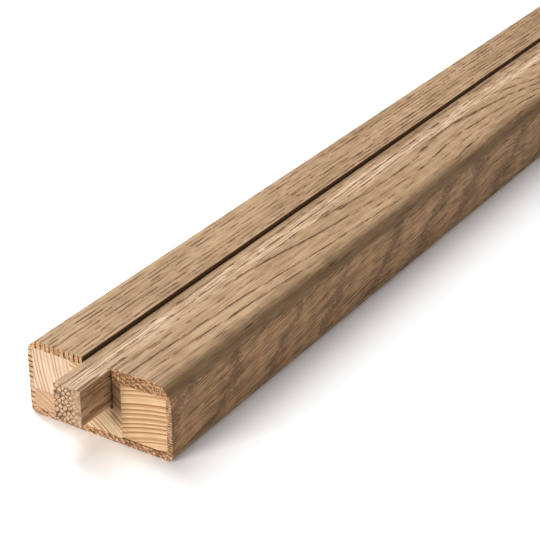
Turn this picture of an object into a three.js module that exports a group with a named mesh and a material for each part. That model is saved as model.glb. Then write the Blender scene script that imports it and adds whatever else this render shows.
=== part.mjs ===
// Oak-faced threshold strip: a laminated bar with a groove along its top and a loose oak strip in it.
// Millimetres. X runs across the bar, Y along it and Z up. The bar stands on Z = 0, and the origin
// is under the middle of the whole object, the projecting end of the loose strip included.

import * as THREE from 'three';

// Overall sizes of the bar.
const barWidth = 80;
const barLength = 900;
const leftHeight = 39;            // the narrow left shoulder stands a little higher
const rightHeight = 38.4;
const leftShoulderWidth = 31.7;   // from the left face to the groove

// Oak facing lamellas.
const sideLamella = 2.8;
const baseLamella = 3.4;
const leftTopLamella = 4.0;
const rightCapLamella = 6.4;

// Loose strip.
const stripWidth = 14.8;
const stripHeight = 18.2;
const stripProjection = 21;       // how far it is drawn out of the near end
const stripEdgeRadius = 0.5;

// Groove, and how the strip lies in it.
const grooveFloorHeight = 18.4;   // above the underside of the bar
const leftClearance = 0.4;
const rightClearance = 1.0;
const floorClearance = 0.2;
const grooveEdgeRadius = 0.5;
const kerfWidth = 2.2;            // saw kerf left in the groove's right-hand bottom corner
const kerfDepth = 1.4;

// Softwood core sticks.
const leftCheek = 7.2;            // core wood left standing on each side of the groove
const rightCheek = 4.6;
const lowerStickHeight = 10.3;
const openGlueLine = 0.35;        // thin open joint under the right-hand stick

// Rounded outer corners.
const leftTopRadius = 7.5;
const rightTopRadius = 10;
const baseRadius = 3;

const arcSegments = 20;

// Sizes and places worked out from those above. The strip is cut to the bar's own length.
const stripLength = barLength;
const grooveLeft = leftShoulderWidth;
const grooveRight = grooveLeft + leftClearance + stripWidth + rightClearance;
const leftCoreTop = leftHeight - leftTopLamella;
const rightCoreTop = rightHeight - rightCapLamella;
const coreLeft = sideLamella;
const coreRight = barWidth - sideLamella;
const leftStickEdge = grooveLeft - leftCheek;
const rightStickEdge = grooveRight + rightCheek;
const lowerStickTop = baseLamella + lowerStickHeight;
const baseCorner = Math.min(baseRadius, baseLamella);

const quarterTurn = Math.PI / 2;
const halfTurn = Math.PI;

// A round corner can run from a top lamella on into the side lamella below it. This is the angle
// above the horizontal, seen from the corner's centre, at which the joint between them crosses it.
function jointAngle(radius, lamella) {
  return Math.asin(Math.max(0, (radius - lamella) / radius));
}

const leftJointAngle = jointAngle(leftTopRadius, leftTopLamella);
const rightJointAngle = jointAngle(rightTopRadius, rightCapLamella);

// A closed outline of straight lines through the given corners.
function polygon(corners) {
  return new THREE.Shape(corners.map(([x, z]) => new THREE.Vector2(x, z)));
}

function rectangle(left, bottom, right, top) {
  return polygon([[left, bottom], [right, bottom], [right, top], [left, top]]);
}

// Oak lamella on the left face, which carries the lower part of the left top corner's curve.
function leftSideOutline() {
  const shape = new THREE.Shape();
  shape.absarc(leftTopRadius, leftHeight - leftTopRadius, leftTopRadius,
    halfTurn - leftJointAngle, halfTurn, false);
  shape.lineTo(0, baseLamella);
  shape.lineTo(coreLeft, baseLamella);
  shape.lineTo(coreLeft, leftCoreTop);
  return shape;
}

// Oak lamella on the right face, which carries the lower part of the right top corner's curve.
function rightSideOutline() {
  const shape = new THREE.Shape();
  shape.absarc(barWidth - rightTopRadius, rightHeight - rightTopRadius, rightTopRadius,
    0, rightJointAngle, false);
  shape.lineTo(coreRight, rightCoreTop);
  shape.lineTo(coreRight, baseLamella);
  shape.lineTo(barWidth, baseLamella);
  return shape;
}

// Oak lamella over the left shoulder, up to the groove.
function leftTopOutline() {
  const shape = new THREE.Shape();
  shape.absarc(grooveLeft - grooveEdgeRadius, leftHeight - grooveEdgeRadius, grooveEdgeRadius,
    0, quarterTurn, false);
  shape.absarc(leftTopRadius, leftHeight - leftTopRadius, leftTopRadius,
    quarterTurn, halfTurn - leftJointAngle, false);
  shape.lineTo(grooveLeft, leftCoreTop);
  return shape;
}

// Thick oak cap over the right-hand side, with the wide round corner.
function rightCapOutline() {
  const shape = new THREE.Shape();
  shape.absarc(barWidth - rightTopRadius, rightHeight - rightTopRadius, rightTopRadius,
    rightJointAngle, quarterTurn, false);
  shape.absarc(grooveRight + grooveEdgeRadius, rightHeight - grooveEdgeRadius, grooveEdgeRadius,
    quarterTurn, halfTurn, false);
  shape.lineTo(grooveRight, rightCoreTop);
  return shape;
}

// Oak lamella under the whole width, with its two lower corners rounded.
function baseOutline() {
  const shape = new THREE.Shape();
  shape.absarc(baseCorner, baseCorner, baseCorner, halfTurn, halfTurn + quarterTurn, false);
  shape.absarc(barWidth - baseCorner, baseCorner, baseCorner, -quarterTurn, 0, false);
  shape.lineTo(barWidth, baseLamella);
  shape.lineTo(0, baseLamella);
  return shape;
}

// Middle core stick with the groove in it. The kerf in the groove's corner has a round bottom.
function groovedCoreOutline() {
  const kerfRadius = kerfWidth / 2;
  const kerfLeft = grooveRight - kerfWidth;
  const shape = new THREE.Shape();
  shape.absarc(grooveRight - kerfRadius, grooveFloorHeight - kerfDepth + kerfRadius, kerfRadius,
    0, -halfTurn, true);
  shape.lineTo(kerfLeft, grooveFloorHeight);
  shape.lineTo(grooveLeft, grooveFloorHeight);
  shape.lineTo(grooveLeft, leftCoreTop);
  shape.lineTo(leftStickEdge, leftCoreTop);
  shape.lineTo(leftStickEdge, baseLamella);
  shape.lineTo(rightStickEdge, baseLamella);
  shape.lineTo(rightStickEdge, rightCoreTop);
  shape.lineTo(grooveRight, rightCoreTop);
  return shape;
}

// Loose solid oak strip with its four long edges eased.
function stripOutline() {
  const radius = stripEdgeRadius;
  const left = grooveLeft + leftClearance;
  const right = left + stripWidth;
  const bottom = grooveFloorHeight + floorClearance;
  const top = bottom + stripHeight;
  const shape = new THREE.Shape();
  shape.absarc(right - radius, bottom + radius, radius, -quarterTurn, 0, false);
  shape.absarc(right - radius, top - radius, radius, 0, quarterTurn, false);
  shape.absarc(left + radius, top - radius, radius, quarterTurn, halfTurn, false);
  shape.absarc(left + radius, bottom + radius, radius, halfTurn, halfTurn + quarterTurn, false);
  return shape;
}

const oak = { color: 0xb08d66, roughness: 0.55, metalness: 0 };
const oakEdge = { color: 0x8f6d4b, roughness: 0.6, metalness: 0 };
const paleSoftwood = { color: 0xe6c99a, roughness: 0.7, metalness: 0 };
const pinkSoftwood = { color: 0xd8ad82, roughness: 0.7, metalness: 0 };

// A named stick that runs along Y: its outline lies in X and Z, and it starts at the given Y.
function stick(name, outline, length, start, finish) {
  const geometry = new THREE.ExtrudeGeometry(outline, {
    depth: length,
    bevelEnabled: false,
    curveSegments: arcSegments,
  });
  geometry.rotateX(quarterTurn);
  const mesh = new THREE.Mesh(geometry, new THREE.MeshStandardMaterial(finish));
  mesh.name = name;
  mesh.position.y = start + length;
  return mesh;
}

function fixedStick(name, outline, finish) {
  return stick(name, outline, barLength, 0, finish);
}

const overallLength = barLength + stripProjection;

const threshold = new THREE.Group();
threshold.position.set(-barWidth / 2, stripProjection - overallLength / 2, 0);
threshold.add(
  fixedStick('left_side_lamella', leftSideOutline(), oak),
  fixedStick('left_top_lamella', leftTopOutline(), oak),
  fixedStick('right_cap_lamella', rightCapOutline(), oak),
  fixedStick('right_side_lamella', rightSideOutline(), oakEdge),
  fixedStick('base_lamella', baseOutline(), oakEdge),
  fixedStick('left_upper_core_stick',
    rectangle(coreLeft, lowerStickTop, leftStickEdge, leftCoreTop), paleSoftwood),
  fixedStick('left_lower_core_stick',
    rectangle(coreLeft, baseLamella, leftStickEdge, lowerStickTop), pinkSoftwood),
  fixedStick('grooved_core_stick', groovedCoreOutline(), pinkSoftwood),
  fixedStick('right_core_stick',
    rectangle(rightStickEdge, baseLamella + openGlueLine, coreRight, rightCoreTop), paleSoftwood),
  stick('loose_strip', stripOutline(), stripLength, -stripProjection, oak),
);

export default threshold;
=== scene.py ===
"""Oak-faced threshold strip: laminated facings, softwood core sticks and a loose strip in the groove."""

import math

import bpy
from bpy.props import FloatProperty, FloatVectorProperty, IntProperty, PointerProperty
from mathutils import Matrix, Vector


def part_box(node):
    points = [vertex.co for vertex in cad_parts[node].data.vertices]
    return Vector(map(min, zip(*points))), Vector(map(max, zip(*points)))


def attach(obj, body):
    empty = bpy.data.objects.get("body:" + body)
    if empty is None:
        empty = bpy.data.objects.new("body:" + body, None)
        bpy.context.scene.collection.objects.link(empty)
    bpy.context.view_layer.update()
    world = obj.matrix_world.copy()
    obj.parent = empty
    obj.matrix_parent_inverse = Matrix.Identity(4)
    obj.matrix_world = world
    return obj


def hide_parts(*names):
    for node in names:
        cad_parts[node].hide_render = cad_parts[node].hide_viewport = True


bl_info = {
    "name": "Oak threshold strip",
    "version": (1, 0, 0),
    "blender": (4, 5, 0),
    "location": "3D View > Sidebar > Threshold",
    "description": "Laminated threshold strip with a loose oak strip in its groove",
    "category": "Object",
}

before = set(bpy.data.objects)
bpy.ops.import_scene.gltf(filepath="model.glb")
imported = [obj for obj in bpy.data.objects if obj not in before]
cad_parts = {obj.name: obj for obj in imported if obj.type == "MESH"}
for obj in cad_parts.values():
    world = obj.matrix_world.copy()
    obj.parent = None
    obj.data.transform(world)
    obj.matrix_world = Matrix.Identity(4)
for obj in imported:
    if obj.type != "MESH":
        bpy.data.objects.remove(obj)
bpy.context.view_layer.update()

MM = 0.001
QUARTER = math.pi / 2
GLUED = True                        # the outline's next side is a glue joint, so its ends stay sharp
OPEN = False

# Shape of the sticks.
ARC_STEPS = 24                      # per quarter turn of a rounded corner
MERGE_DISTANCE = 0.001 * MM
SMOOTH_ANGLE = math.radians(24)     # flatter edges than this are shaded smooth
EASING_SEGMENTS = 2
KEY_DIGITS = 6                      # metres are compared to a thousandth of a millimetre

# Places in the section, in metres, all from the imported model.
BASE_LOW, BASE_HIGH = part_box("base_lamella")
LEFT_TOP_LOW, LEFT_TOP_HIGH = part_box("left_top_lamella")
CAP_LOW, CAP_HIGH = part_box("right_cap_lamella")
LEFT_SIDE_LOW, LEFT_SIDE_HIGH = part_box("left_side_lamella")
RIGHT_SIDE_LOW, RIGHT_SIDE_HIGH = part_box("right_side_lamella")
UPPER_LOW, UPPER_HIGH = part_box("left_upper_core_stick")
LOWER_LOW, LOWER_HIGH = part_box("left_lower_core_stick")
GROOVED_LOW, GROOVED_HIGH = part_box("grooved_core_stick")
RIGHT_CORE_LOW, RIGHT_CORE_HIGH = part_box("right_core_stick")
STRIP_LOW, STRIP_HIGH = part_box("loose_strip")

FLOOR_CLEARANCE = 0.2 * MM          # between the loose strip and the groove's floor
KERF_WIDTH = 2.2 * MM
KERF_DEPTH = 1.4 * MM
GROOVE_LEFT = LEFT_TOP_HIGH.x
GROOVE_RIGHT = CAP_LOW.x
GROOVE_FLOOR = STRIP_LOW.z - FLOOR_CLEARANCE

# How the woods take light.
OAK_RELIEF = 0.14 * MM              # depth of the open pores
SOFTWOOD_RELIEF = 0.08 * MM
SWAY_ACROSS_MM = 70                 # size across the stick of the bends in the pith's sway
WAVE_RATE = 0.009                   # slow waves in a millimetre of length
HAIR_WIDTH_MM = 0.38                # room that one hair-fine pore takes
HAIR_LENGTH_MM = 13.0
OAK_SPECULAR = 0.30
SOFTWOOD_SPECULAR = 0.22


# --- Shader building ---------------------------------------------------------------------------

class Value:
    """A number that comes out of a shader node. Arithmetic on it adds Math nodes."""

    def __init__(self, graph, socket):
        self.graph = graph
        self.socket = socket

    def _math(self, operation, first, second):
        node = self.graph.node("ShaderNodeMath", {"operation": operation}, {0: first, 1: second})
        return Value(self.graph, node.outputs[0])

    def __add__(self, other):
        return self._math("ADD", self, other)

    def __radd__(self, other):
        return self._math("ADD", other, self)

    def __sub__(self, other):
        return self._math("SUBTRACT", self, other)

    def __rsub__(self, other):
        return self._math("SUBTRACT", other, self)

    def __mul__(self, other):
        return self._math("MULTIPLY", self, other)

    def __rmul__(self, other):
        return self._math("MULTIPLY", other, self)

    def __truediv__(self, other):
        return self._math("DIVIDE", self, other)

    def __rtruediv__(self, other):
        return self._math("DIVIDE", other, self)


class Graph:
    """The node tree of one material."""

    def __init__(self, name):
        self.material = bpy.data.materials.new(name)
        self.material.use_nodes = True
        self.tree = self.material.node_tree
        self.tree.nodes.clear()
        self.output = self.node("ShaderNodeOutputMaterial")

    def node(self, kind, settings=None, inputs=None):
        """Adds a node: its settings are set first, then the values or links of its sockets."""
        made = self.tree.nodes.new(kind)
        for name, value in (settings or {}).items():
            setattr(made, name, value)
        for name, value in (inputs or {}).items():
            if isinstance(value, Value):
                value = value.socket
            if isinstance(value, bpy.types.NodeSocket):
                self.tree.links.new(value, made.inputs[name])
            else:
                made.inputs[name].default_value = value
        return made

    def value(self, kind, output, settings=None, inputs=None):
        return Value(self, self.node(kind, settings, inputs).outputs[output])

    def vector(self, operation, first, second):
        settings = {"operation": operation}
        return self.node("ShaderNodeVectorMath", settings, {0: first, 1: second}).outputs[0]

    def parts(self, vector):
        split = self.node("ShaderNodeSeparateXYZ", None, {0: vector})
        return [Value(self, out) for out in split.outputs]

    def join(self, x, y, z):
        return self.node("ShaderNodeCombineXYZ", None, {0: x, 1: y, 2: z}).outputs[0]

    def noise(self, vector, detail=2.0, roughness=0.5):
        """Smooth noise whose features are about one unit of the vector across."""
        inputs = {"Vector": vector, "Scale": 1.0, "Detail": detail, "Roughness": roughness}
        return self.value("ShaderNodeTexNoise", 0, {"noise_dimensions": "3D"}, inputs)

    def grain(self, place, rates, detail=2.0, roughness=0.5):
        """Noise with its own rate along each axis, in features for each millimetre."""
        return self.noise(self.vector("MULTIPLY", place, rates), detail, roughness)

    def cells(self, vector):
        """The nearest cell's middle: its distance, and a colour that is the cell's own."""
        cell = self.node("ShaderNodeTexVoronoi", {"feature": "F1"}, {"Vector": vector, "Scale": 1.0})
        return Value(self, cell.outputs["Distance"]), self.parts(cell.outputs["Color"])

    def smooth(self, value, start, end, low=0.0, high=1.0):
        """Goes smoothly from low to high as value goes from start to end."""
        inputs = {"Value": value, "From Min": start, "From Max": end, "To Min": low, "To Max": high}
        return self.value("ShaderNodeMapRange", 0, {"interpolation_type": "SMOOTHSTEP"}, inputs)

    def function(self, operation, first, second=0.0):
        return self.value("ShaderNodeMath", 0, {"operation": operation}, {0: first, 1: second})

    def mix(self, factor, first, second, blend="MIX"):
        """Mixes two colours."""
        settings = {"data_type": "RGBA", "blend_type": blend, "clamp_factor": True}
        ends = [(*c, 1.0) if isinstance(c, tuple) else c for c in (first, second)]
        node = self.node("ShaderNodeMix", settings, {0: factor, 6: ends[0], 7: ends[1]})
        return node.outputs[2]

    def tint(self, factor, colour, by):
        """Multiplies a colour by another as far as the factor says."""
        return self.mix(factor, colour, self.mix(1.0, colour, by, "MULTIPLY"))

    def finish(self, colour, roughness, height, depth, specular):
        """Principled surface with a bump of the given depth in metres."""
        bump = self.node("ShaderNodeBump", None,
                         {"Height": height, "Distance": depth, "Strength": 1.0})
        inputs = {"Base Color": colour, "Roughness": roughness,
                  "Normal": bump.outputs[0], "Specular IOR Level": specular}
        surface = self.node("ShaderNodeBsdfPrincipled", None, inputs)
        self.tree.links.new(surface.outputs[0], self.output.inputs[0])
        return self.material


def millimetres(graph):
    """Object coordinates in millimetres."""
    place = graph.node("ShaderNodeTexCoord").outputs["Object"]
    return graph.vector("MULTIPLY", place, (1000.0, 1000.0, 1000.0))


def facing(graph, axis, start, end):
    """1 on the faces that look along an axis of the piece, either way, and 0 on the others."""
    normal = graph.parts(graph.node("ShaderNodeTexCoord").outputs["Normal"])
    return graph.smooth(graph.function("ABSOLUTE", normal[axis]), start, end)


def end_grain(graph):
    """1 on the sawn ends, 0 on the long faces."""
    return facing(graph, 1, 0.5, 0.9)


def growth(graph, place, look):
    """Distance from the pith in rings and in millimetres; the pith wanders a little along the stick."""
    sway = graph.vector("MULTIPLY", place, (1 / SWAY_ACROSS_MM, 1 / look["wander_mm"],
                                              1 / SWAY_ACROSS_MM))
    sway = graph.vector("ADD", sway, (look["seed"], look["seed"] * 1.7, 3.1))
    push = graph.node("ShaderNodeTexNoise", {"noise_dimensions": "3D"},
                      {"Vector": sway, "Scale": 1.0, "Detail": look["sway_detail"],
                       "Roughness": 0.5})
    push = graph.vector("SUBTRACT", push.outputs["Color"], (0.5, 0.5, 0.5))
    push = graph.vector("MULTIPLY", push, (look["sway_mm"], 0.0, look["sway_mm"]))
    x, y, z = graph.parts(graph.vector("ADD", place, push))
    across = x - look["pith"][0]
    up = z - look["pith"][1]
    radius = graph.function("SQRT", across * across + up * up) + y * look["tilt"]
    if "swirl" in look:
        away = (y - look["swirl_at"]) / look["swirl_long"]
        radius = radius + look["swirl"] / (1 + away * away * away * away)
    uneven = graph.noise(graph.join(radius * 0.23, look["seed"], 0.0))
    return radius / look["ring_mm"] + uneven * look["uneven"], radius


# --- Oak ---------------------------------------------------------------------------------------

class Oak:
    """Ring-porous oak as a solid pattern: pores crowd at the start of each ring and run along Y."""

    def __init__(self, name, look, finish):
        self.look = look
        self.finish = finish
        self.graph = graph = Graph(name)
        place = millimetres(graph)
        self.ends = end_grain(graph)
        self.faces = 1 - self.ends
        x, y, z = graph.parts(place)
        if "climb" in look:
            wave = graph.noise(graph.join(0.0, y * WAVE_RATE, look["seed"]), 1.0)
            z = z + (wave - 0.5) * look["wave_mm"] - y * look["climb"]
            place = graph.join(x, y, z)
        self.place, self.x, self.y, self.z = place, x, y, z
        self.bend = graph.grain(place, (0.1, 0.02, 0.1), 1.0)
        self.radius, self.early, self.late = self.rings()
        self.run, self.vessel = self.vessels()
        self.hairline = self.hairlines()

    def rings(self):
        """Distance from the pith, the porous early part of each ring, and the dense late part."""
        graph, look = self.graph, self.look
        rings, radius = growth(graph, self.place, look)
        phase = graph.function("FRACT", rings)
        starts = graph.smooth(phase, 0.0, 0.05)
        early = graph.smooth(phase, look["early"], look["early"] * 0.35) * starts
        strength = graph.join(radius * 0.30, look["seed"], self.y * 0.004)
        early = early * graph.smooth(graph.noise(strength, 1.0), 0.40, 0.56, look["faintest"], 1.0)
        if "arris_shade_from" in look:
            edge = look["arris_shade_from"]
            early = early * graph.smooth(self.x + self.bend * 2.0, edge, edge - 3.5, 0.15, 1.0)
        return radius, early, graph.smooth(phase, 0.5, 0.95)

    def vessels(self):
        """Open pores as tubes along the stick, dots on a sawn end and dashes on a long face.

        Also gives the stretches of a long face in which the dashes run.
        """
        graph, look = self.graph, self.look
        width = look["pore_mm"]
        ragged = graph.grain(self.place, (0.9, 0.30, 0.9), 3.0, 0.7)
        tubes = graph.join(self.x / width + self.bend * 2.0 + ragged * 1.3,
                           self.y / look["streak_mm"] + look["seed"] + ragged * 1.2,
                           self.z / width + ragged * 1.3)
        distance, lottery = graph.cells(tubes)
        inside = graph.smooth(distance, 0.70, 0.48)
        run = graph.grain(self.place, (0.55, look["dash_rate"], 0.55), 2.0, 0.6)
        run = graph.smooth(run, 0.45, 0.55)
        gaps = look["gaps"]
        room = run * self.faces * gaps + self.ends * gaps + (1 - gaps)
        crowd = self.early * look["crowd"] * room + look["stray"]
        return run, inside * graph.smooth(crowd - lottery[0], -0.04, 0.10)

    def hairlines(self):
        """Pores as fine as hairs, spread evenly through the wood."""
        graph = self.graph
        tubes = graph.join(self.x / HAIR_WIDTH_MM + self.bend * 3.0, self.y / HAIR_LENGTH_MM,
                           self.z / HAIR_WIDTH_MM)
        distance, lottery = graph.cells(tubes)
        inside = graph.smooth(distance, 0.60, 0.30)
        return inside * graph.smooth(lottery[1], 0.60, 0.45)

    def material(self):
        """Puts the long faces and the sawn ends together."""
        graph, look, finish = self.graph, self.look, self.finish
        fibre = graph.grain(self.place, (2.3, 0.045, 2.3), 4.0, 0.65)
        cloud = graph.grain(self.place, (0.06, 0.015, 0.06))
        patch = graph.grain(self.place, (0.5, 0.03, 0.5))
        tone = graph.smooth(fibre * 0.5 + cloud * 0.2 + patch * 0.3, 0.38, 0.60)
        colour = graph.mix(self.ends, self.long_face(tone), self.sawn_end(tone))
        # Painted shade: the step face beside the loose strip is darkened as if in the shadow of the
        # narrow gap.
        if "painted_step_shade" in look:
            step_shade = graph.smooth(self.x, *look["painted_step_shade"]) * self.faces * (0.70 + fibre * 0.35)
            colour = graph.mix(step_shade, colour, finish["step_shade"])
        # Painted shade on the right rounded arris, where it turns away from the light.
        if "arris_shade_from" in look:
            edge = look["arris_shade_from"]
            arris_shade = graph.smooth(self.x + self.bend * 1.5, edge, edge + 3.8) * self.faces
            arris_shade = arris_shade * graph.smooth(self.z, 31.0, 35.0, 0.45, 1.0)       # weaker lower down
            colour = graph.tint(arris_shade, colour, finish["arris_shade"])
        # Painted shade: the faces that look left and right are darkened.
        if look.get("painted_side_shade"):
            colour = graph.tint(facing(graph, 0, 0.6, 0.95), colour, finish["sides"])
        height = 1.0 - self.vessel - self.hairline * 0.3 + fibre * 0.4
        roughness = 0.48 + self.vessel * 0.3 + self.ends * 0.16 + fibre * 0.06
        return graph.finish(colour, roughness, height, OAK_RELIEF, OAK_SPECULAR)

    def long_face(self, tone):
        """Streaky wood with darker porous bands, and dashes where the pores are cut along."""
        graph, look, finish = self.graph, self.look, self.finish
        colour = graph.mix(tone, finish["shade"], finish["light"])
        colour = graph.mix(self.late * 0.16, colour, finish["late"])
        band = self.early * self.faces * (self.run * 0.75 + 0.25) * look["band"]
        colour = graph.mix(band, colour, finish["early"])
        if "flame_mm" in look:
            colour = self.flames(colour)
        if "silk_from" in look:
            colour = self.silk(colour)
        colour = graph.mix(self.hairline * self.faces * look["hair"], colour, finish["early"])
        return graph.mix(self.vessel * self.faces * look["pore_dark"], colour, finish["pore"])

    def flames(self, colour):
        """Mottled darker bands that climb diagonally across a face, with paler wood between them."""
        graph = self.graph
        drift = graph.grain(self.place, (0.05, 0.025, 0.05))
        turns = (self.y - self.z * 1.45 + drift * 70.0) / self.look["flame_mm"]
        wave = graph.function("SINE", turns * (2 * math.pi))
        mottle = graph.grain(self.place, (0.75, 0.34, 0.75), 4.0, 0.75)
        pale = graph.smooth(wave + mottle, 0.2, -0.6) * self.faces
        dark = graph.smooth(wave + mottle * 4.0, 2.45, 3.15) * self.faces
        colour = graph.mix(pale * 0.40, colour, self.finish["light"])
        return graph.mix(dark * 0.60, colour, self.finish["flame"])

    def silk(self, colour):
        """Bright silky threads that run slightly askew along one edge."""
        graph, start = self.graph, self.look["silk_from"]
        edge = graph.smooth(self.x + self.bend * 7.0 - self.y * 0.004, start, start + 2.5)
        threads = graph.join(self.x * 1.4 + self.y * 0.035, self.y * 0.03, self.z * 1.4)
        threads = graph.smooth(graph.noise(threads, 3.0, 0.6), 0.42, 0.60)
        return graph.mix(edge * threads * self.faces * 0.75, colour, self.finish["silk"])

    def sawn_end(self, tone):
        """Warm pale wood, brown porous bands with dark open pores, crossed by pale rays."""
        graph, look, finish = self.graph, self.look, self.finish
        light = tinted(finish["end_light"], look["end_tint"])
        shade = tinted(finish["end_shade"], look["end_tint"])
        colour = graph.mix(tone, shade, light)
        if "cobble_mm" in look:
            colour = self.cobbles(colour)
        else:
            knots = graph.noise(graph.join(self.x * 0.75, look["seed"], self.z * 0.75), 2.0, 0.6)
            knots = graph.smooth(knots, 0.36, 0.52)
            colour = graph.mix(self.early * knots * look["end_band"], colour, finish["end_early"])
            blotch = graph.noise(graph.join(self.x * 0.65, look["seed"] + 5.0, self.z), 3.0, 0.7)
            blotch = graph.smooth(blotch, 0.47, 0.56) * look["blotch"]
            colour = graph.mix(blotch, colour, finish["end_early"])
            colour = graph.mix(self.vessel * (knots * 0.6 + 0.3), colour, finish["pore"])
            colour = graph.mix(self.rays() * look["ray"], colour, finish["ray"])
        return graph.mix(self.hairline * 0.35, colour, finish["end_early"])

    def rays(self):
        """Thin pale lines across the rings."""
        graph, look = self.graph, self.look
        angle = graph.function("ARCTAN2", self.x - look["pith"][0], self.z - look["pith"][1])
        across = graph.join(angle * self.radius * look["ray_rate"], self.y * 0.08, self.radius * 0.12)
        return graph.smooth(graph.noise(across, 1.5), 0.50, 0.60)

    def cobbles(self, colour):
        """Pale islands of fibre in a slanting net of dark pore rows, finer and paler to the right."""
        graph, size = self.graph, self.look["cobble_mm"]
        slant = math.sqrt(0.5)
        along = (self.x + self.z) * slant / (size * 1.25)
        across = (self.z - self.x) * slant / size
        inputs = {"Vector": graph.join(along + self.bend, across + self.bend, 0.0),
                  "Scale": 1.0, "Randomness": 0.55}
        edge = graph.value("ShaderNodeTexVoronoi", "Distance", {"feature": "DISTANCE_TO_EDGE"}, inputs)
        crumb = graph.noise(graph.join(self.x * 1.3, 0.0, self.z * 1.3), 3.0, 0.75)
        net = graph.smooth(edge + crumb * 0.34, 0.33, 0.20)
        fade = graph.smooth(self.x + crumb * 8.0, 9.0, 4.5, 0.35, 1.0)
        speck = graph.smooth(crumb, 0.40, 0.32)
        colour = graph.mix(speck * 0.6, colour, self.finish["end_early"])
        return graph.mix(net * fade * 0.9, colour, self.finish["net"])


# --- Softwood ----------------------------------------------------------------------------------

def softwood(name, look, finish):
    """Softwood as a solid pattern: pale early wood that darkens to a sharp line at each ring's end."""
    graph = Graph(name)
    place = millimetres(graph)
    ends = end_grain(graph)
    x, y, z = graph.parts(place)
    rings, radius = growth(graph, place, look)
    phase = graph.function("FRACT", rings)
    late = graph.smooth(phase, look["late_from"], 0.85) * graph.smooth(phase, 1.0, 0.90)
    strength = graph.noise(graph.join(radius * 0.36, look["seed"], 1.0), 1.0)
    late = late * graph.smooth(strength, 0.34, 0.56, look["faintest"], 1.0)
    grit = graph.grain(place, (3.2, 0.25, 3.2), 3.0, 0.7)
    cloud = graph.grain(place, (0.14, 0.02, 0.14))
    angle = graph.function("ARCTAN2", x - look["pith"][0], z - look["pith"][1])
    ray = graph.noise(graph.join(angle * radius * 2.2, y * 0.2, radius * 0.25), 1.0)
    tone = graph.smooth(grit * 0.55 + cloud * 0.45, 0.38, 0.62)
    colour = graph.mix(tone, finish["shade"], finish["light"])
    colour = graph.mix(graph.smooth(ray, 0.50, 0.72) * 0.35, colour, finish["shade"])
    colour = graph.mix(late, colour, finish["ring"])
    # Partly darker wood, partly painted shadow that the loose strip casts on the groove's cheek.
    if "dark_wood_and_shadow" in look:
        left, right, low, high = look["dark_wood_and_shadow"]
        dark_wood_and_shadow = graph.smooth(x, left, right) * graph.smooth(z, low, high)
        colour = graph.tint(dark_wood_and_shadow * 0.8, colour, finish["dark_wood_and_shadow"])
    colour = graph.tint(1 - ends, colour, finish["face_tint"])
    height = grit * 0.7 - late * 0.3
    roughness = 0.62 + grit * 0.14
    return graph.finish(colour, roughness, height, SOFTWOOD_RELIEF, SOFTWOOD_SPECULAR)


# --- Outlines ----------------------------------------------------------------------------------

def arc(centre_x, centre_z, radius, start, end):
    """Points of an arc in the section, every one followed by an open side."""
    steps = max(2, round(abs(end - start) / QUARTER * ARC_STEPS))
    points = []
    for step in range(steps + 1):
        turn = start + (end - start) * step / steps
        points.append((centre_x + radius * math.cos(turn), centre_z + radius * math.sin(turn), OPEN))
    return points


def joint_angle(radius, thickness):
    """Where the joint under a top lamella crosses the rounded corner."""
    return math.asin(max(0.0, (radius - thickness) / radius))


def seal(points):
    """The last point's side is glued."""
    x, z, _ = points[-1]
    return points[:-1] + [(x, z, GLUED)]


def rectangle(low, high, sides):
    """A rectangle whose bottom, right, top and left sides are glued or open, in that order."""
    corners = [(low.x, low.z), (high.x, low.z), (high.x, high.z), (low.x, high.z)]
    return [(x, z, side) for (x, z), side in zip(corners, sides)]


def outlines(sizes):
    """Every stick's outline, anticlockwise as seen from the near end."""
    left_r = sizes.left_radius
    right_r = sizes.right_radius
    left_joint = joint_angle(left_r, LEFT_TOP_HIGH.z - LEFT_TOP_LOW.z)
    right_joint = joint_angle(right_r, CAP_HIGH.z - CAP_LOW.z)
    left_centre = (BASE_LOW.x + left_r, LEFT_TOP_HIGH.z - left_r)
    right_centre = (BASE_HIGH.x - right_r, CAP_HIGH.z - right_r)
    edge_r = sizes.groove_edge_radius

    left_side = arc(*left_centre, left_r, math.pi - left_joint, math.pi)
    left_side += [(LEFT_SIDE_LOW.x, LEFT_SIDE_LOW.z, GLUED),
                  (LEFT_SIDE_HIGH.x, LEFT_SIDE_LOW.z, GLUED),
                  (LEFT_SIDE_HIGH.x, LEFT_SIDE_HIGH.z, GLUED)]

    right_side = seal(arc(*right_centre, right_r, 0.0, right_joint))
    right_side += [(RIGHT_SIDE_LOW.x, RIGHT_SIDE_HIGH.z, GLUED),
                   (RIGHT_SIDE_LOW.x, RIGHT_SIDE_LOW.z, GLUED),
                   (RIGHT_SIDE_HIGH.x, RIGHT_SIDE_LOW.z, OPEN)]

    left_top = arc(GROOVE_LEFT - edge_r, LEFT_TOP_HIGH.z - edge_r, edge_r, 0.0, QUARTER)
    left_top += seal(arc(*left_centre, left_r, QUARTER, math.pi - left_joint))
    left_top += [(GROOVE_LEFT, LEFT_TOP_LOW.z, OPEN)]

    cap = arc(*right_centre, right_r, right_joint, QUARTER)
    cap += arc(GROOVE_RIGHT + edge_r, CAP_HIGH.z - edge_r, edge_r, QUARTER, math.pi)
    cap += [(GROOVE_RIGHT, CAP_LOW.z, GLUED)]

    all_glued = (GLUED, GLUED, GLUED, GLUED)
    return {
        "left_side_lamella": left_side,
        "left_top_lamella": left_top,
        "right_cap_lamella": cap,
        "right_side_lamella": right_side,
        "base_lamella": base_outline(sizes.base_radius),
        "left_upper_core_stick": rectangle(UPPER_LOW, UPPER_HIGH, all_glued),
        "left_lower_core_stick": rectangle(LOWER_LOW, LOWER_HIGH, all_glued),
        "grooved_core_stick": grooved_outline(),
        "right_core_stick": rectangle(RIGHT_CORE_LOW, RIGHT_CORE_HIGH, (OPEN, GLUED, GLUED, GLUED)),
        "loose_strip": strip_outline(sizes.strip_edge_radius),
    }


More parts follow.
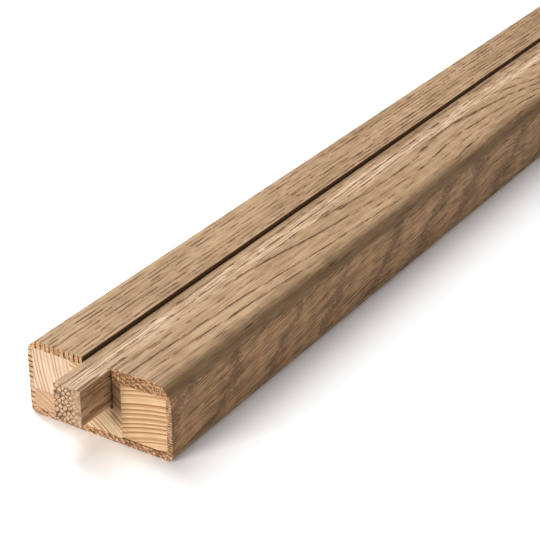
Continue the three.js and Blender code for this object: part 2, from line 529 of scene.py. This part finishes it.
def base_outline(radius):
    """The lamella under the whole width, with its two lower corners rounded."""
    points = arc(BASE_LOW.x + radius, BASE_LOW.z + radius, radius, math.pi, math.pi + QUARTER)
    points += arc(BASE_HIGH.x - radius, BASE_LOW.z + radius, radius, -QUARTER, 0.0)
    return points + [(BASE_HIGH.x, BASE_HIGH.z, GLUED), (BASE_LOW.x, BASE_HIGH.z, OPEN)]


def grooved_outline():
    """The core stick with the groove in it; the kerf in the groove's corner has a round bottom."""
    radius = KERF_WIDTH / 2
    bottom = GROOVE_FLOOR - KERF_DEPTH + radius
    return arc(GROOVE_RIGHT - radius, bottom, radius, 0.0, -math.pi) + [
        (GROOVE_RIGHT - KERF_WIDTH, GROOVE_FLOOR, OPEN),
        (GROOVE_LEFT, GROOVE_FLOOR, OPEN),
        (GROOVE_LEFT, GROOVED_HIGH.z, GLUED),
        (GROOVED_LOW.x, GROOVED_HIGH.z, GLUED),
        (GROOVED_LOW.x, GROOVED_LOW.z, GLUED),
        (GROOVED_HIGH.x, GROOVED_LOW.z, GLUED),
        (GROOVED_HIGH.x, CAP_LOW.z, GLUED),
        (GROOVE_RIGHT, CAP_LOW.z, OPEN),
    ]


def strip_outline(radius):
    """The loose strip, with its four long edges eased."""
    left, right = STRIP_LOW.x + radius, STRIP_HIGH.x - radius
    bottom, top = STRIP_LOW.z + radius, STRIP_HIGH.z - radius
    points = arc(right, bottom, radius, -QUARTER, 0.0)
    points += arc(right, top, radius, 0.0, QUARTER)
    points += arc(left, top, radius, QUARTER, math.pi)
    return points + arc(left, bottom, radius, math.pi, math.pi + QUARTER)


# --- Sticks ------------------------------------------------------------------------------------

def stick_tree():
    """Geometry nodes that draw an outline out along Y into a closed stick of a given length."""
    tree = bpy.data.node_groups.new("Stick from outline", "GeometryNodeTree")
    face = tree.interface
    face.new_socket("Outline", in_out="INPUT", socket_type="NodeSocketGeometry")
    length = face.new_socket("Length", in_out="INPUT", socket_type="NodeSocketFloat")
    length.subtype = "DISTANCE"
    face.new_socket("Material", in_out="INPUT", socket_type="NodeSocketMaterial")
    face.new_socket("Stick", in_out="OUTPUT", socket_type="NodeSocketGeometry")
    add = tree.nodes.new
    link = tree.links.new
    source = add("NodeGroupInput")
    result = add("NodeGroupOutput")
    extrude = add("GeometryNodeExtrudeMesh")
    extrude.mode = "FACES"
    extrude.inputs["Individual"].default_value = False
    direction = add("ShaderNodeCombineXYZ")
    direction.inputs["Y"].default_value = 1.0
    flip = add("GeometryNodeFlipFaces")
    join = add("GeometryNodeJoinGeometry")
    merge = add("GeometryNodeMergeByDistance")
    merge.inputs["Distance"].default_value = MERGE_DISTANCE
    realize = add("GeometryNodeRealizeInstances")
    paint = add("GeometryNodeSetMaterial")
    link(source.outputs["Outline"], extrude.inputs["Mesh"])
    link(direction.outputs[0], extrude.inputs["Offset"])
    link(source.outputs["Length"], extrude.inputs["Offset Scale"])
    link(source.outputs["Outline"], flip.inputs["Mesh"])
    link(extrude.outputs["Mesh"], join.inputs[0])
    link(flip.outputs[0], join.inputs[0])
    link(join.outputs[0], merge.inputs[0])
    link(merge.outputs[0], realize.inputs[0])
    link(realize.outputs[0], paint.inputs["Geometry"])
    link(source.outputs["Material"], paint.inputs["Material"])
    link(paint.outputs[0], result.inputs[0])
    return tree


def add_object(name, data):
    """A new object that holds the data, in the scene."""
    made = bpy.data.objects.new(name, data)
    bpy.context.scene.collection.objects.link(made)
    return made


def outline_object(name, outline, start):
    """The outline as one face at the near end, facing along the stick."""
    mesh = bpy.data.meshes.new(name)
    points = [(x, start, z) for x, z, _ in outline]
    mesh.from_pydata(points, [], [list(range(len(points)))[::-1]])
    return add_object(name, mesh)


def set_input(modifier, name, value):
    """Sets a node modifier's input by the name shown in its panel."""
    for item in modifier.node_group.interface.items_tree:
        if item.item_type == "SOCKET" and item.in_out == "INPUT" and item.name == name:
            modifier[item.identifier] = value
            return
    raise RuntimeError(f"the node group has no input named {name}")


def evaluated_copy(source, name):
    """What the modifiers make of an object, as a plain mesh on a new object."""
    graph = bpy.context.evaluated_depsgraph_get()
    mesh = bpy.data.meshes.new_from_object(source.evaluated_get(graph))
    mesh.name = name
    made = add_object(name, mesh)
    old = source.data
    bpy.data.objects.remove(source)
    bpy.data.meshes.remove(old)
    return made


def section_key(x, z):
    return round(x, KEY_DIGITS), round(z, KEY_DIGITS)


def ease_ends(piece, outline, width):
    """Bevels the arrises of both sawn ends, except across glue joints."""
    middles = set()
    for (x, z, glued), (next_x, next_z, _) in zip(outline, outline[1:] + outline[:1]):
        if not glued:
            middles.add(section_key((x + next_x) / 2, (z + next_z) / 2))
    mesh = piece.data
    weights = mesh.attributes.new("bevel_weight_edge", "FLOAT", "EDGE")
    for edge in mesh.edges:
        first, second = (mesh.vertices[i].co for i in edge.vertices)
        across = abs(first.y - second.y) < width / 10
        middle = (first + second) / 2
        eased = across and section_key(middle.x, middle.z) in middles
        weights.data[edge.index].value = 1.0 if eased else 0.0
    bevel = piece.modifiers.new("eased ends", "BEVEL")
    bevel.limit_method = "WEIGHT"
    bevel.width = width
    bevel.segments = EASING_SEGMENTS
    bevel.use_clamp_overlap = False


def make_stick(node, outline, material, body, sizes):
    """One stick in place of its plain solid."""
    low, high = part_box(node)
    flat = outline_object("outline_" + node, outline, low.y)
    modifier = flat.modifiers.new("stick", "NODES")
    modifier.node_group = bpy.data.node_groups.get("Stick from outline") or stick_tree()
    set_input(modifier, "Length", high.y - low.y)
    set_input(modifier, "Material", material)
    piece = evaluated_copy(flat, node + "_fine")
    piece.data.shade_smooth()
    piece.data.set_sharp_from_angle(angle=SMOOTH_ANGLE)
    if sizes.end_arris > 0:
        ease_ends(piece, outline, sizes.end_arris)
    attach(piece, body)
    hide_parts(node)


# --- Settings ----------------------------------------------------------------------------------

def length_setting(name, description, default):
    return FloatProperty(name=name, description=description, default=default,
                         min=0.0, subtype="DISTANCE", unit="LENGTH")


def colour_setting(name, description, default):
    return FloatVectorProperty(name=name, description=description, default=default,
                               min=0.0, max=1.0, size=3, subtype="COLOR")


def power_setting(name, description, default):
    return FloatProperty(name=name, description=description, default=default, min=0.0, unit="POWER")


class ThresholdSizes(bpy.types.PropertyGroup):
    left_radius: length_setting("Left corner", "Radius of the left top corner", 7.5 * MM)
    right_radius: length_setting("Right corner", "Radius of the right top corner", 10 * MM)
    base_radius: length_setting("Base corners", "Radius of the two bottom corners", 3 * MM)
    groove_edge_radius: length_setting("Groove edges", "Radius of the groove's top edges", 0.5 * MM)
    strip_edge_radius: length_setting("Strip edges", "Radius of the loose strip's long edges", 0.5 * MM)
    end_arris: length_setting("End arris", "Width of the easing round the sawn ends", 0.25 * MM)


class ThresholdColours(bpy.types.PropertyGroup):
    oak_light: colour_setting("Oak", "Lightest oak", (0.625, 0.442, 0.280))
    oak_shade: colour_setting("Oak shade", "Darker oak between the light streaks",
                              (0.415, 0.278, 0.166))
    oak_early: colour_setting("Oak early wood", "Porous start of a ring", (0.240, 0.140, 0.070))
    oak_pore: colour_setting("Oak pores", "Inside of the open pores", (0.110, 0.056, 0.024))
    side_light: colour_setting("Side oak", "Lightest oak of the right face", (0.780, 0.480, 0.250))
    side_shade: colour_setting("Side oak shade", "Darker oak of the right face",
                               (0.490, 0.276, 0.130))
    pale_light: colour_setting("Pale softwood", "Early wood of the left-hand upper stick",
                               (0.90, 0.71, 0.53))
    pale_ring: colour_setting("Pale softwood rings", "Its late wood", (0.54, 0.36, 0.235))
    gold_light: colour_setting("Golden softwood", "Early wood of the right-hand stick",
                               (0.90, 0.655, 0.40))
    gold_ring: colour_setting("Golden softwood rings", "Its late wood", (0.46, 0.245, 0.11))
    pink_light: colour_setting("Pink softwood", "Early wood of the two pinker sticks",
                               (0.84, 0.59, 0.40))
    pink_ring: colour_setting("Pink softwood rings", "Their late wood", (0.50, 0.295, 0.165))


class ThresholdStage(bpy.types.PropertyGroup):
    overhead_power: power_setting("Overhead light", "Power of the wide soft light above", 36.0)
    front_power: power_setting("Front light", "Power of the soft light facing the end", 13.5)
    sky: FloatProperty(name="Surroundings", description="Brightness of the white surroundings",
                       default=0.12, min=0.0)
    seed: IntProperty(name="Grain seed", description="Moves the grain pattern in every oak piece",
                      default=0, min=0)


# --- Looks -------------------------------------------------------------------------------------

# How the oak differs from piece to piece. Lengths and places are millimetres of the frame.
#   pith            where the pith lies in the section, across and up
#   ring_mm         width of a ring; uneven: how much the widths vary, in rings
#   tilt            how much the rings climb along the stick
#   sway_mm         how far the pith sways, over wander_mm of length, in sway_detail octaves
#   swirl           bulge of the rings in millimetres at swirl_at along the stick, swirl_long each way
#   climb, wave_mm  steady slope of the whole grain up the stick, and a slow wave on it
#   seed            where the piece is cut from the endless pattern
#   early           share of a ring that is porous; faintest: strength of the weakest ring
#   pore_mm         room that one pore takes across the stick; streak_mm: and along it
#   crowd, stray    how many pores there are in the porous part and elsewhere
#   gaps, dash_rate how much the rows of pores break up into dashes, and how many in a millimetre
#   band, end_band  strength of the porous bands on the long faces and on the sawn ends
#   hair, pore_dark strength of the fine and of the open pores on the long faces
#   ray, ray_rate   strength of the rays on the sawn ends, and how close they are
#   blotch          strength of the dark blotches on the sawn ends
#   end_tint        what the sawn ends' colour is multiplied by
#   painted_step_shade painted shade: the long faces darken from the first place across to the second
#   arris_shade_from painted shade: the long faces darken round the rounded arris, and their rings fade,
#       from this place across
#   flame_mm        spacing of the diagonal mottled bands
#   silk_from       bright silky threads begin at this place across
#   cobble_mm       size of the pale islands on a sawn end that shows a net of pores
#   painted_side_shade painted shade: the faces that look left and right are darker
OAK_COMMON = dict(
    wander_mm=240.0, sway_detail=2.0, uneven=0.8, tilt=0.0, early=0.42, faintest=0.65,
    pore_mm=0.50, streak_mm=14.0, crowd=1.0, stray=0.025, gaps=0.9, dash_rate=0.085,
    band=0.42, end_band=0.95, hair=0.48, pore_dark=0.76, ray=0.35, ray_rate=0.7,
    blotch=0.35, end_tint=(1.50, 1.34, 1.18))
OAK_LOOKS = {
    "left_side_lamella": dict(
        pith=(-42, -170), ring_mm=2.8, seed=11.3, sway_mm=5.0, end_tint=(1.45, 1.42, 1.40)),
    "left_top_lamella": dict(
        pith=(-240, 30), ring_mm=2.75, seed=2.4, sway_mm=3.0, early=0.55,
        painted_step_shade=(-8.46, -8.34)),
    "right_cap_lamella": dict(
        pith=(-9, -38), ring_mm=2.4, seed=7.9, sway_mm=5.0, tilt=-0.028, sway_detail=1.0,
        swirl=4.2, swirl_at=-88.0, swirl_long=72.0, early=0.34, faintest=0.35,
        pore_mm=0.46, streak_mm=11.0, stray=0.015, gaps=0.45, band=0.68, ray=0.12,
        blotch=0.85, end_tint=(1.38, 1.16, 0.96), arris_shade_from=34.0),
    "right_side_lamella": dict(
        pith=(33, -300), ring_mm=1.25, seed=5.2, sway_mm=3.0, tilt=-0.02, climb=0.09, wave_mm=17.0,
        pore_mm=0.42, streak_mm=20.0, crowd=0.8, stray=0.06, dash_rate=0.04, band=0.75,
        hair=0.80, pore_dark=0.78, blotch=0.6, end_tint=(1.34, 1.19, 1.04), flame_mm=56.0),
    "base_lamella": dict(
        pith=(-60, -75), ring_mm=2.4, seed=9.6, sway_mm=6.0, blotch=0.75,
        end_tint=(1.62, 1.41, 1.25)),
    "loose_strip": dict(
        pith=(56, -29), ring_mm=3.0, seed=4.1, sway_mm=4.0, pore_mm=0.46, hair=0.55,
        silk_from=1.5, cobble_mm=2.0, painted_side_shade=True, end_tint=(1.25, 1.25, 1.30)),
}
OAK_FACINGS = ("left_side_lamella", "left_top_lamella", "right_cap_lamella", "right_side_lamella",
               "base_lamella")

# The softwood's own: late_from is where in a ring the wood begins to darken, wood and tone its colour
# and how bright that is, and dark_wood_and_shadow a darker patch from left to right and from low to
# high: partly darker wood, partly painted shadow of the loose strip.
SOFTWOOD_COMMON = dict(wander_mm=400.0, sway_mm=1.8, sway_detail=2.0, uneven=1.3, tilt=0.0, tone=1.0)
SOFTWOOD_LOOKS = {
    "left_upper_core_stick": dict(
        pith=(70, 45), ring_mm=2.1, seed=1.2, late_from=0.10, faintest=0.45, wood="pale"),
    "left_lower_core_stick": dict(
        pith=(-62, -44), ring_mm=2.6, seed=6.4, late_from=0.05, faintest=0.3, wood="pink", tone=0.88),
    "grooved_core_stick": dict(
        pith=(-38, -48), ring_mm=2.6, seed=3.3, late_from=0.05, faintest=0.3, wood="pink", tone=1.34,
        dark_wood_and_shadow=(5.0, 8.5, 8.0, 20.0)),
    "right_core_stick": dict(
        pith=(62, -120), ring_mm=2.3, seed=8.8, late_from=0.0, faintest=0.2, wood="gold"),
}

# Tints that the colours in the settings are multiplied by.
SILK_TINT = (1.46, 1.64, 1.94)
NET_TINT = (0.44, 0.33, 0.24)
END_EARLY_TINT = (0.64, 0.52, 0.40)
# Painted shade on the right rounded arris.
ARRIS_SHADE_TINT = (0.72, 0.68, 0.60)
# Painted shade on the loose strip's left and right faces.
PAINTED_SIDE_SHADE_TINT = (0.80, 0.70, 0.60)
# Darker wood with painted shadow of the loose strip, on the grooved stick's cheek.
DARK_WOOD_AND_SHADOW_TINT = (0.29, 0.19, 0.12)
SOFTWOOD_FACE_TINT = (0.90, 0.84, 0.76)
SOFTWOOD_SHADE = 0.84


def shaded(colour, factor):
    return tuple(min(1.0, channel * factor) for channel in colour)


def tinted(colour, tint):
    return tuple(min(1.0, channel * factor) for channel, factor in zip(colour, tint))


def oak_finish(light, shade, colours):
    """The colours of one oak piece, worked out from its light and dark wood."""
    early = tuple(colours.oak_early)
    return {
        "light": tuple(light),
        "shade": tuple(shade),
        "early": early,
        "late": shaded(shade, 0.85),
        "pore": tuple(colours.oak_pore),
        "ray": shaded(colours.pale_light, 0.85),
        "silk": tinted(colours.oak_light, SILK_TINT),
        # Colour of the painted shade on the step face beside the loose strip.
        "step_shade": shaded(early, 0.75),
        # Tint of the painted shade on the right rounded arris.
        "arris_shade": ARRIS_SHADE_TINT,
        # Tint of the painted shade on the faces that look left and right.
        "sides": PAINTED_SIDE_SHADE_TINT,
        "net": tinted(early, NET_TINT),
        "flame": shaded(early, 0.80),
        "end_light": tuple(colours.oak_light),
        "end_shade": tuple(colours.oak_shade),
        "end_early": tinted(early, END_EARLY_TINT),
    }


def oak_material(scene, node, name):
    """The oak of one piece, in the scene's colours and with the grain moved by the scene's seed."""
    colours = scene.threshold_colours
    look = dict(OAK_COMMON, **OAK_LOOKS[node])
    look["seed"] += scene.threshold_stage.seed
    if node == "right_side_lamella":
        finish = oak_finish(colours.side_light, colours.side_shade, colours)
    else:
        finish = oak_finish(colours.oak_light, colours.oak_shade, colours)
    return Oak(name, look, finish).material()


class THRESHOLD_OT_oak_facings(bpy.types.Operator):
    """Makes the five oak lamellas that face the bar"""
    bl_idname = "threshold.oak_facings"
    bl_label = "Oak facings"

    def execute(self, context):
        sizes = context.scene.threshold_sizes
        shapes = outlines(sizes)
        for node in OAK_FACINGS:
            material = oak_material(context.scene, node, "oak " + node)
            make_stick(node, shapes[node], material, "bar", sizes)
        return {"FINISHED"}


class THRESHOLD_OT_core_sticks(bpy.types.Operator):
    """Makes the four softwood sticks of the core, the grooved one among them"""
    bl_idname = "threshold.core_sticks"
    bl_label = "Core sticks"

    def execute(self, context):
        sizes = context.scene.threshold_sizes
        colours = context.scene.threshold_colours
        shapes = outlines(sizes)
        for node, own_look in SOFTWOOD_LOOKS.items():
            look = dict(SOFTWOOD_COMMON, **own_look)
            light = shaded(getattr(colours, look["wood"] + "_light"), look["tone"])
            finish = {"light": light, "shade": shaded(light, SOFTWOOD_SHADE),
                      "ring": tuple(getattr(colours, look["wood"] + "_ring")),
                      "dark_wood_and_shadow": DARK_WOOD_AND_SHADOW_TINT, "face_tint": SOFTWOOD_FACE_TINT}
            material = softwood("softwood " + node, look, finish)
            make_stick(node, shapes[node], material, "bar", sizes)
        return {"FINISHED"}


class THRESHOLD_OT_loose_strip(bpy.types.Operator):
    """Makes the loose oak strip that slides in the groove"""
    bl_idname = "threshold.loose_strip"
    bl_label = "Loose strip"

    def execute(self, context):
        sizes = context.scene.threshold_sizes
        outline = outlines(sizes)["loose_strip"]
        material = oak_material(context.scene, "loose_strip", "oak loose strip")
        make_stick("loose_strip", outline, material, "strip", sizes)
        return {"FINISHED"}


# --- Stage -------------------------------------------------------------------------------------

CAMERA_AZIMUTH = math.radians(32.28)
CAMERA_ELEVATION = math.radians(27.62)
CAMERA_LENS = 110.6
CAMERA_SENSOR = 36.0
CAMERA_CLIP_END = 50.0
CAMERA_RIGHT = 110.31 * MM          # from the near bottom left corner, in the camera's own axes
CAMERA_UP = 65.28 * MM
CAMERA_BACK = 768.64 * MM
VIEW_GAMMA = 0.86
VIEW_EXPOSURE = 0.12

FLOOR_HALF = 6.0
FLOOR_DROP = 0.05 * MM              # keeps the floor clear of the underside
FLOOR_GLOW = 0.16

# Soft lights, in metres: their places count Y from the near end, and so does the point they face.
LIGHT_TARGET = (0.0, 0.2, 0.0)
LIGHTS = {
    "overhead": dict(place=(-0.88, 0.45, 1.34), size=(0.52, 2.8), colour=(1.0, 1.0, 1.0)),
    "front": dict(place=(-0.42, -1.3, 0.70), size=(0.6, 0.6), colour=(1.0, 0.98, 0.95)),
}


def floor_material():
    """White sheet on a light table: it glows a little, so it stays white round the shadow."""
    graph = Graph("pale floor")
    grain = graph.grain(millimetres(graph), (0.004, 0.004, 0.004), 1.0)
    colour = graph.mix(grain, (0.93, 0.93, 0.94), (0.96, 0.96, 0.97))
    inputs = {"Base Color": colour, "Roughness": 0.40, "Specular IOR Level": 0.3,
              "Emission Color": (0.97, 0.98, 1.0, 1.0), "Emission Strength": FLOOR_GLOW}
    surface = graph.node("ShaderNodeBsdfPrincipled", None, inputs)
    graph.tree.links.new(surface.outputs[0], graph.output.inputs[0])
    return graph.material


def add_floor():
    """A wide flat sheet just under the bar."""
    mesh = bpy.data.meshes.new("floor")
    level = BASE_LOW.z - FLOOR_DROP
    sides = [(-FLOOR_HALF, -FLOOR_HALF), (FLOOR_HALF, -FLOOR_HALF),
             (FLOOR_HALF, FLOOR_HALF), (-FLOOR_HALF, FLOOR_HALF)]
    mesh.from_pydata([(x, y, level) for x, y in sides], [], [(0, 1, 2, 3)])
    mesh.materials.append(floor_material())
    floor = add_object("floor", mesh)


def from_near_end(place):
    """A place whose Y is counted from the bar's near end."""
    return Vector((place[0], BASE_LOW.y + place[1], place[2]))


def add_light(name, power):
    """One of the soft lights, turned to the bar."""
    light = LIGHTS[name]
    place = from_near_end(light["place"])
    data = bpy.data.lights.new(name, "AREA")
    data.shape = "RECTANGLE"
    data.size, data.size_y = light["size"]
    data.energy = power
    data.color = light["colour"]
    made = add_object(name, data)
    made.location = place
    turn = (from_near_end(LIGHT_TARGET) - place).to_track_quat("-Z", "Y")
    made.rotation_euler = turn.to_euler()


def add_camera():
    """A camera that looks along its azimuth and elevation, set off from the near bottom left corner."""
    flat = math.cos(CAMERA_ELEVATION)
    forward = Vector((-math.sin(CAMERA_AZIMUTH) * flat, math.cos(CAMERA_AZIMUTH) * flat,
                      -math.sin(CAMERA_ELEVATION)))
    right = forward.cross(Vector((0, 0, 1))).normalized()
    up = right.cross(forward)
    corner = Vector((BASE_LOW.x, BASE_LOW.y, BASE_LOW.z))
    data = bpy.data.cameras.new("camera")
    data.lens = CAMERA_LENS
    data.sensor_width = CAMERA_SENSOR
    data.clip_end = CAMERA_CLIP_END
    camera = add_object("camera", data)
    camera.location = corner + right * CAMERA_RIGHT + up * CAMERA_UP - forward * CAMERA_BACK
    camera.rotation_euler = forward.to_track_quat("-Z", "Y").to_euler()
    bpy.context.scene.camera = camera


class THRESHOLD_OT_stage(bpy.types.Operator):
    """Sets the pale floor, the soft studio lights and the camera"""
    bl_idname = "threshold.stage"
    bl_label = "Stage"

    def execute(self, context):
        scene = context.scene
        stage = scene.threshold_stage
        add_floor()
        world = bpy.data.worlds.new("white surroundings")
        world.use_nodes = True
        background = world.node_tree.nodes["Background"]
        background.inputs[0].default_value = (1.0, 1.0, 1.0, 1.0)
        background.inputs[1].default_value = stage.sky
        scene.world = world
        add_light("overhead", stage.overhead_power)
        add_light("front", stage.front_power)
        add_camera()
        scene.view_settings.view_transform = "Standard"
        scene.view_settings.gamma = VIEW_GAMMA
        scene.view_settings.exposure = VIEW_EXPOSURE
        return {"FINISHED"}


class THRESHOLD_PT_panel(bpy.types.Panel):
    bl_idname = "THRESHOLD_PT_panel"
    bl_label = "Threshold strip"
    bl_space_type = "VIEW_3D"
    bl_region_type = "UI"
    bl_category = "Threshold"

    def draw(self, context):
        layout = self.layout
        for group in ("threshold_sizes", "threshold_colours", "threshold_stage"):
            settings = getattr(context.scene, group)
            box = layout.box()
            for name in settings.__annotations__:
                box.prop(settings, name)
        for operator in OPERATORS:
            layout.operator(operator.bl_idname)


OPERATORS = (
    THRESHOLD_OT_stage,
    THRESHOLD_OT_oak_facings,
    THRESHOLD_OT_core_sticks,
    THRESHOLD_OT_loose_strip,
)
CLASSES = (ThresholdSizes, ThresholdColours, ThresholdStage, *OPERATORS, THRESHOLD_PT_panel)


def register():
    for cls in CLASSES:
        bpy.utils.register_class(cls)
    bpy.types.Scene.threshold_sizes = PointerProperty(type=ThresholdSizes)
    bpy.types.Scene.threshold_colours = PointerProperty(type=ThresholdColours)
    bpy.types.Scene.threshold_stage = PointerProperty(type=ThresholdStage)


def unregister():
    del bpy.types.Scene.threshold_stage
    del bpy.types.Scene.threshold_colours
    del bpy.types.Scene.threshold_sizes
    for cls in reversed(CLASSES):
        bpy.utils.unregister_class(cls)


def main():
    register()
    bpy.ops.threshold.stage()
    bpy.ops.threshold.oak_facings()
    bpy.ops.threshold.core_sticks()
    bpy.ops.threshold.loose_strip()


if __name__ == "__main__":
    main()
